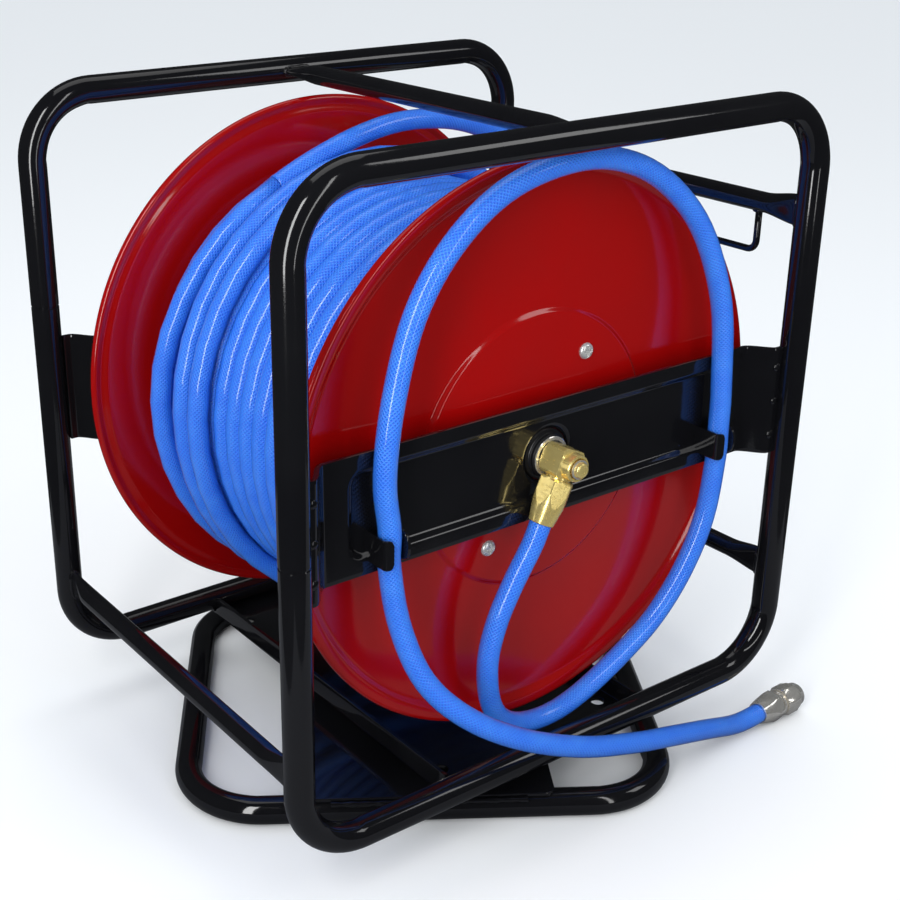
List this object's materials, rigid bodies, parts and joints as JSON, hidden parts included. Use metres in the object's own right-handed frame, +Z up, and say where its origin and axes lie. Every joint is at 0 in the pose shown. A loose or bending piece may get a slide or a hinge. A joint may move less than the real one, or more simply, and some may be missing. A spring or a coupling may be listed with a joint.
{
  "type": "manual air hose reel",
  "caption": "Hand-wound air hose reel: a drum of hose between pressed flanges in a tube carry frame that swivels on a floor loop, with a brass inlet elbow and leader hose.",
  "frame": {"origin": "on the floor, under the swivel axis and the middle of the drum", "axes": "+Z up along the swivel axis, drum axis along Y at the height of the frame's middle, inlet side toward -Y, crank side toward +Y, +X toward the hose guide"},
  "size_m": [0.4114, 0.3326, 0.393],
  "materials": {
    "frame_paint": "gloss",
    "flange_paint": "gloss",
    "core_paint": "satin",
    "brass": "machined",
    "zinc": "zinc plated",
    "nickel": "nickel plated",
    "steel": "turned",
    "hose": "semi-gloss polyurethane",
    "nylon_black": "satin",
    "nylon_white": "satin"
  },
  "bodies": {
    "base": {"base_loop": "frame_paint", "base_plate": "frame_paint", "pivot_bolt": "zinc", "pivot_nut": "zinc", "pivot_washer": "zinc", "swivel_lower_ring": "steel", "swivel_slip_ring": "nylon_white"},
    "frame": {"swivel_upper_ring": "steel", "bottom_plate": "frame_paint", "front_loop": "frame_paint", "back_loop": "frame_paint", "cross_top": "frame_paint", "cross_upper_right": "frame_paint", "cross_lower_left": "frame_paint", "cross_lower_right": "frame_paint", "hose_guide": "frame_paint", "front_bracket": "frame_paint", "back_bracket": "frame_paint", "front_bush": "nylon_black", "back_bush": "nylon_black", "elbow_body": "brass", "elbow_nut": "brass", "leader_hose": "hose", "leader_nut": "nickel", "leader_plug": "nickel", "outlet_hose": "hose", "outlet_nut": "nickel", "outlet_plug": "nickel"},
    "drum": {"axle": "steel", "core": "core_paint", "front_flange": "flange_paint", "back_flange": "flange_paint", "front_screws": "zinc", "back_screws": "zinc", "inlet_spindle": "brass", "spindle_ring": "steel", "drum_outlet": "brass", "crank_arm": "frame_paint", "crank_nut": "zinc", "crank_pin": "steel", "wound_hose": "hose", "crossing_turn": "hose"},
    "grip": {"crank_grip": "nylon_black"}
  },
  "joints": [
    {"name": "frame_swivel", "type": "hinge", "parent": "base", "child": "frame", "pos_m": [0, 0, 0.02], "axis": [0, 0, 1], "continuous": true},
    {"name": "drum_spin", "type": "hinge", "parent": "frame", "child": "drum", "pos_m": [0, 0, 0.213], "axis": [0, 1, 0], "continuous": true},
    {"name": "grip_spin", "type": "hinge", "parent": "drum", "child": "grip", "pos_m": [0.10525, 0.145, 0.17469], "axis": [0, 1, 0], "continuous": true}
  ]
}
